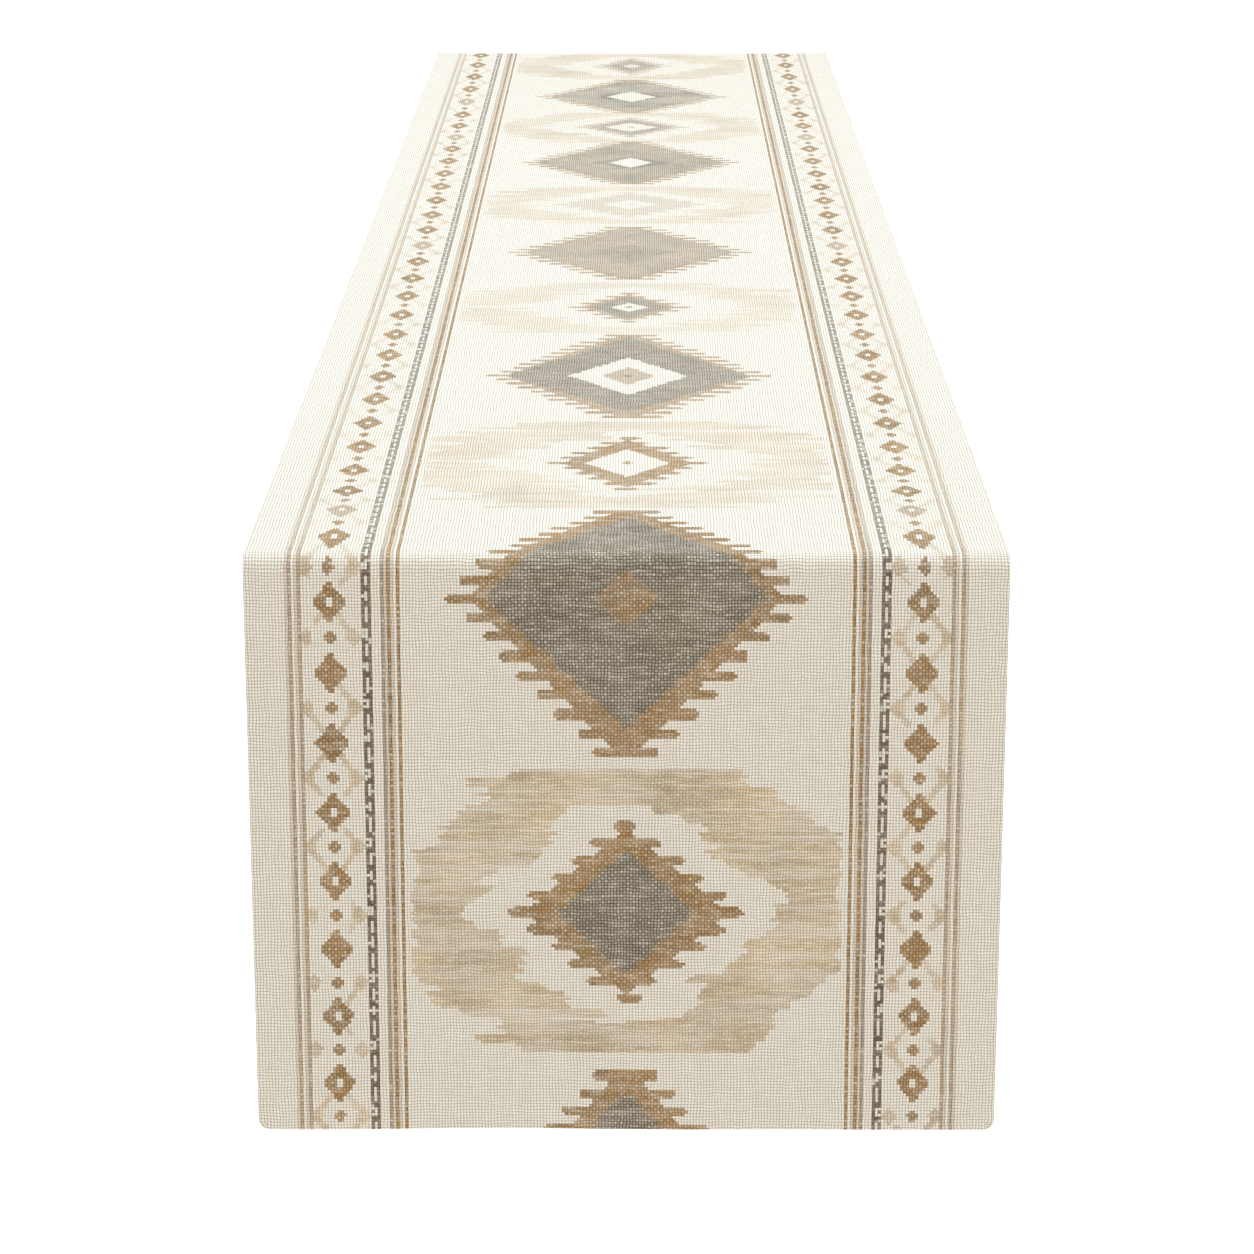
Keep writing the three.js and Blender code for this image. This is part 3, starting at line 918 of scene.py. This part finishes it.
class RUNNER_OT_face_cloth(bpy.types.Operator):
    """Weave the patterned face cloth, turn its margins under and drape it"""

    bl_idname = "runner.face_cloth"
    bl_label = "Face Cloth"

    def execute(self, context):
        settings = context.scene.runner_cloth
        colours = context.scene.runner_colours
        columns = round(Cut.width / settings.thread_pitch)
        pitch = Cut.width / columns
        parts = lengths(pitch)
        rows = parts[-1][2]
        woven = Loom(rows, columns, pitch).woven()
        material = face_cloth_material((pitch, Cut.length / rows), colours)
        for part, first, last, hem in parts:
            self.make_length(part, first, last, hem, rows, pitch, woven, material, settings)
        return {"FINISHED"}

    def make_length(self, part, first, last, hem, rows, pitch, woven, material, settings):
        row_pitch = Cut.length / rows
        sink = 0.3 * MM  # the cloth settles onto the lining inside its thicker margins

        def settled(inset):
            share = np.clip((inset - Cut.turning + 2 * MM) / (4 * MM), 0, 1)
            return sink * share * share * (3 - 2 * share)

        def upper(inset):
            return Cut.thickness - settled(inset)

        def under(inset):
            inside = inset > Cut.turning + 0.1 * MM
            return np.where(inside, Cut.face_base - sink, 0.0)

        marks = self.under_marks(pitch)
        layer = Layer(
            Cut.width, (last - first) * row_pitch, Cut.thickness, settings.corner_radius, pitch,
            last - first, hem != 0, upper, under, marks,
        )
        start, facing = (first, 1) if hem <= 0 else (last, -1)
        cells = woven[first:last] if hem <= 0 else woven[first:last][::-1]
        along = start * row_pitch - Cut.length / 2
        mesh = flat_mesh("face_cloth_" + part, layer, -Cut.width / 2, along, facing, settings, cells)
        piece = drape(mesh, "face_cloth_" + part, material)
        follow(piece, part, *nodes_of(part, "face_cloth", "left_turning", "right_turning", "hem_turning"))

    def under_marks(self, pitch):
        """Lines of the coarse underside: (fine line it joins, its distance from the edge)."""
        wall = 0.3 * MM
        insets = [2 * MM, 4.5 * MM, 11 * MM, Cut.turning, Cut.turning + wall, 30 * MM]
        near = [(round(inset / pitch) if inset > 2 * MM else 0, inset) for inset in insets]
        near[4] = (near[4][0] + 1, near[4][1])
        total = round(Cut.width / pitch)
        middle = [(round(total * share), Cut.width * share) for share in (0.25, 0.375, 0.5, 0.625, 0.75)]
        far = [(total - index, Cut.width - inset) for index, inset in reversed(near)]
        return near, near + middle + far


class RUNNER_OT_lining(bpy.types.Operator):
    """Cut the plain lining and drape it inside the turned margins"""

    bl_idname = "runner.lining"
    bl_label = "Lining"

    def execute(self, context):
        settings = context.scene.runner_cloth
        material = lining_material(context.scene.runner_colours)
        columns = round(Cut.width / settings.thread_pitch)
        pitch = Cut.width / columns
        parts = lengths(pitch)
        rows = parts[-1][2]
        for part, first, last, hem in parts:
            self.make_length(part, first, last, hem, rows, pitch, material, settings)
        return {"FINISHED"}

    def make_length(self, part, first, last, hem, rows, pitch, material, settings):
        row_pitch = Cut.length / rows
        inset = (Cut.width - Cut.lining_width) / 2
        length = (last - first) * row_pitch - (inset if hem else 0)
        steps = 2 * round(length / (3 * MM) / 2)
        coarse = 6 * MM
        total = round(Cut.lining_width / coarse)
        near = [(0, 1.2 * MM), (1, coarse)]
        columns = near + [(k, Cut.lining_width * k / total) for k in range(3, total - 2, 2)]
        columns += [(total - index, Cut.lining_width - inset) for index, inset in reversed(near)]
        layer = Layer(
            Cut.lining_width, length, Cut.lining_thickness, 1.5 * MM, coarse, steps, hem != 0,
            lambda inset: np.full_like(inset, Cut.lining_thickness), np.zeros_like,
            ([(0, 1.2 * MM)], columns),
        )
        start, facing = (first, 1) if hem <= 0 else (last, -1)
        along = start * row_pitch - Cut.length / 2 + (inset * facing if hem else 0)
        mesh = flat_mesh("lining_" + part, layer, -Cut.lining_width / 2, along, facing, settings)
        piece = drape(mesh, "lining_" + part, material)
        follow(piece, part, *nodes_of(part, "lining"))


class RUNNER_OT_slip_stitches(bpy.types.Operator):
    """Sew the lining to the turned margins with slip stitches"""

    bl_idname = "runner.slip_stitches"
    bl_label = "Slip Stitches"

    def execute(self, context):
        settings = context.scene.runner_cloth
        material = thread_material(context.scene.runner_colours)
        columns = round(Cut.width / settings.thread_pitch)
        parts = lengths(Cut.width / columns)
        row_pitch = Cut.length / parts[-1][2]
        for part, first, last, hem in parts:
            low = first * row_pitch - Cut.length / 2
            high = last * row_pitch - Cut.length / 2
            mesh = self.paths(part, low, high, hem, settings)
            sizes = {"Stitch Pitch": settings.stitch_length, "Thread Radius": Cut.thread / 2}
            piece = drape(mesh, "slip_stitches_" + part, material, sizes)
            for polygon in piece.data.polygons:
                polygon.use_smooth = True
            follow(piece, part, *nodes_of(part, "left_stitch", "right_stitch", "hem_stitch"))
        return {"FINISHED"}

    def paths(self, part, low, high, hem, settings):
        """The lines that are sewn: both long edges of the lining, its hem edge and the mitres."""
        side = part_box("right_stitch_top")[0].x + Cut.thread / 2
        gap = Cut.width / 2 - side
        ends = [low + (gap if hem < 0 else 0), high - (gap if hem > 0 else 0)]
        lines = [[(x, y, 0) for y in np.linspace(ends[0], ends[1], 80)] for x in (-side, side)]
        if hem:
            edge = ends[0] if hem < 0 else ends[1]
            lines.append([(x, edge, 0) for x in np.linspace(-side, side, 30)])
            reach = gap - 3.5 * MM
            for x in (-side, side):
                steps = np.linspace(0.12, 1, 6) * reach
                lines.append([(x + math.copysign(t, x), edge + hem * t, -0.35 * MM) for t in steps])
        mesh = bpy.data.meshes.new("slip_stitches_" + part)
        points, edges = [], []
        for line in lines:
            first = len(points)
            points += line
            edges += [(first + i, first + i + 1) for i in range(len(line) - 1)]
        flat = np.array(points)
        flat[:, 2] += wave(flat[:, 0], flat[:, 1], settings)
        mesh.from_pydata(flat, edges, [])
        return mesh


# ---- Stage ----

class RunnerStageSettings(bpy.types.PropertyGroup):
    camera_distance: bpy.props.FloatProperty(
        name="Camera distance", description="From the near hanging end's face, level",
        default=1.2362, min=0.3, max=10, subtype="DISTANCE", unit="LENGTH",
    )
    camera_height: bpy.props.FloatProperty(
        name="Camera height", description="Above the runner's upper face",
        default=0.3809, min=0, max=5, subtype="DISTANCE", unit="LENGTH",
    )
    camera_pitch: bpy.props.FloatProperty(
        name="Camera pitch", description="How far the camera looks down",
        default=math.radians(18.37), min=0, max=math.pi / 2, subtype="ANGLE", unit="ROTATION",
    )
    camera_yaw: bpy.props.FloatProperty(
        name="Camera yaw", description="How far the camera is turned to the left",
        default=math.radians(0.18), min=-1, max=1, subtype="ANGLE", unit="ROTATION",
    )
    lens: bpy.props.FloatProperty(
        name="Lens", description="Focal length for a 36 mm sensor, in millimetres", default=93.75, min=20, max=300,
    )
    table_height: bpy.props.FloatProperty(
        name="Table height", description="How far the floor is below the table top",
        default=0.74, min=0.3, max=1.2, subtype="DISTANCE", unit="LENGTH",
    )
    sky: bpy.props.FloatProperty(
        name="Sky", description="Strength of the light from all round", default=0.62, min=0,
    )
    key: bpy.props.FloatProperty(
        name="Key light", description="Power of the overhead light", default=108, min=0, unit="POWER",
    )
    key_colour: bpy.props.FloatVectorProperty(
        name="Key colour", description="Cool daylight from overhead", default=(0.765, 0.885, 1.0), size=3,
        min=0, max=1, subtype="COLOR",
    )


class RUNNER_OT_stage(bpy.types.Operator):
    """Set the floor, the studio lights and the camera"""

    bl_idname = "runner.stage"
    bl_label = "Stage"

    def execute(self, context):
        stage = context.scene.runner_stage
        self.add_floor(stage)
        self.add_lights(context.scene, stage)
        self.add_camera(context.scene, stage)
        context.scene.view_settings.view_transform = "Standard"
        return {"FINISHED"}

    def add_floor(self, stage):
        half = 20.0
        mesh = bpy.data.meshes.new("floor")
        corners = [(-half, -half), (half, -half), (half, half), (-half, half)]
        mesh.from_pydata([(x, y, -stage.table_height) for x, y in corners], [], [(0, 1, 2, 3)])
        floor = bpy.data.objects.new("floor", mesh)
        bpy.context.scene.collection.objects.link(floor)
        material, tree = blank_material("painted_studio_floor")
        shader = add_node(tree, "ShaderNodeBsdfPrincipled", values={
            "Base Color": (0.80, 0.79, 0.77, 1), "Roughness": 0.9, "Specular IOR Level": 0.1,
            "Emission Color": (1, 0.98, 0.95, 1), "Emission Strength": 0.56,
        })
        add_node(tree, "ShaderNodeOutputMaterial", {0: shader.outputs[0]})
        mesh.materials.append(material)

    def add_lights(self, scene, stage):
        world = bpy.data.worlds.new("studio")
        world.use_nodes = True
        world.node_tree.nodes.clear()
        sky = add_node(world.node_tree, "ShaderNodeBackground",
                       values={"Color": (1.0, 0.995, 0.985, 1), "Strength": stage.sky})
        add_node(world.node_tree, "ShaderNodeOutputWorld", {0: sky.outputs[0]})
        scene.world = world
        light = bpy.data.lights.new("key", "AREA")
        light.shape, light.size, light.size_y = "RECTANGLE", 2.4, 4.0
        light.energy = stage.key
        light.color = stage.key_colour
        key = bpy.data.objects.new("key", light)
        key.location = (0, 0.1, 2.4)
        scene.collection.objects.link(key)

    def add_camera(self, scene, stage):
        camera = bpy.data.objects.new("camera", bpy.data.cameras.new("camera"))
        scene.collection.objects.link(camera)
        camera.data.sensor_width = 36
        camera.data.lens = stage.lens
        camera.data.clip_start, camera.data.clip_end = 0.05, 100
        front = Cut.table_length / 2 + Cut.bend_radius + Cut.thickness
        camera.location = (4.165 * MM, -front - stage.camera_distance, Cut.thickness + stage.camera_height)
        camera.rotation_euler = Euler((math.pi / 2 - stage.camera_pitch, 0, stage.camera_yaw))
        scene.camera = camera


# ---- Panel and registration ----

OPERATORS = (RUNNER_OT_slip_stitches, RUNNER_OT_lining, RUNNER_OT_face_cloth, RUNNER_OT_stage)
SETTINGS = {
    "runner_cloth": RunnerClothSettings,
    "runner_colours": RunnerColourSettings,
    "runner_stage": RunnerStageSettings,
}


class RUNNER_PT_panel(bpy.types.Panel):
    """Sizes, colours and steps of the runner"""

    bl_idname = "RUNNER_PT_panel"
    bl_label = "Table Runner"
    bl_space_type = "VIEW_3D"
    bl_region_type = "UI"
    bl_category = "Runner"

    def draw(self, context):
        for operator in OPERATORS:
            self.layout.operator(operator.bl_idname)
        for name, kind in SETTINGS.items():
            box = self.layout.box()
            for label in kind.__annotations__:
                box.prop(getattr(context.scene, name), label)


def register():
    for kind in (*SETTINGS.values(), *OPERATORS, RUNNER_PT_panel):
        bpy.utils.register_class(kind)
    for name, kind in SETTINGS.items():
        setattr(bpy.types.Scene, name, bpy.props.PointerProperty(type=kind))


def unregister():
    for name in SETTINGS:
        delattr(bpy.types.Scene, name)
    for kind in reversed((*SETTINGS.values(), *OPERATORS, RUNNER_PT_panel)):
        bpy.utils.unregister_class(kind)


def main():
    register()
    for operator in OPERATORS:
        getattr(bpy.ops.runner, operator.bl_idname.split(".")[1])()
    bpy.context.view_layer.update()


if __name__ == "__main__":
    main()
